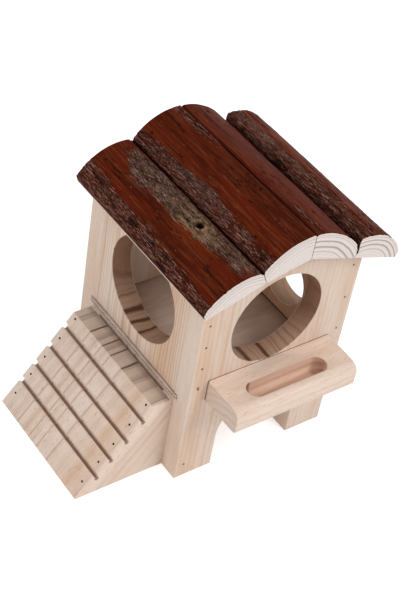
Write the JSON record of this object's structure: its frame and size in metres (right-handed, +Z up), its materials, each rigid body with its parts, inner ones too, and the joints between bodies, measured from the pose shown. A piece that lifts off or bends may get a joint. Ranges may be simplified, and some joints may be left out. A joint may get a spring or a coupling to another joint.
{
  "type": "hamster house",
  "caption": "Raised pine hamster house with round entrances, a grooved ramp, a feeding trough, a slide-out plywood floor and a roof of bark-faced log slabs.",
  "frame": {"origin": "middle of the footprint's bounding box, on the surface that the legs stand on", "axes": "+X to the right of the front panel, away from the ramp; +Y to the back; +Z up"},
  "size_m": [0.1626, 0.129, 0.1593],
  "materials": {
    "pine_boards": "satin",
    "plywood_sheet": "satin",
    "stained_bark_slabs": "gloss",
    "steel_brads": "satin"
  },
  "bodies": {
    "house": {"front_panel": "pine_boards", "back_panel": "pine_boards", "left_upper_wall": "pine_boards", "left_lower_wall": "pine_boards", "right_wall": "pine_boards", "feeding_trough": "pine_boards", "ramp_board": "pine_boards", "ramp_cheek_front": "pine_boards", "ramp_cheek_back": "pine_boards", "roof_slab_left_eave": "stained_bark_slabs", "roof_slab_left_ridge": "stained_bark_slabs", "roof_slab_right_ridge": "stained_bark_slabs", "roof_slab_right_eave": "stained_bark_slabs", "front_panel_brads": "steel_brads", "back_panel_brads": "steel_brads", "trough_brads": "steel_brads", "ramp_board_brads": "steel_brads", "ramp_cheek_brads": "steel_brads", "roof_brads_front": "steel_brads", "roof_brads_back": "steel_brads"},
    "floor": {"floor_sheet": "plywood_sheet"}
  },
  "joints": [
    {"name": "floor_sheet_slide", "type": "slide", "parent": "house", "child": "floor", "axis": [-1, 0, 0], "range_m": [0, 0.075]}
  ]
}
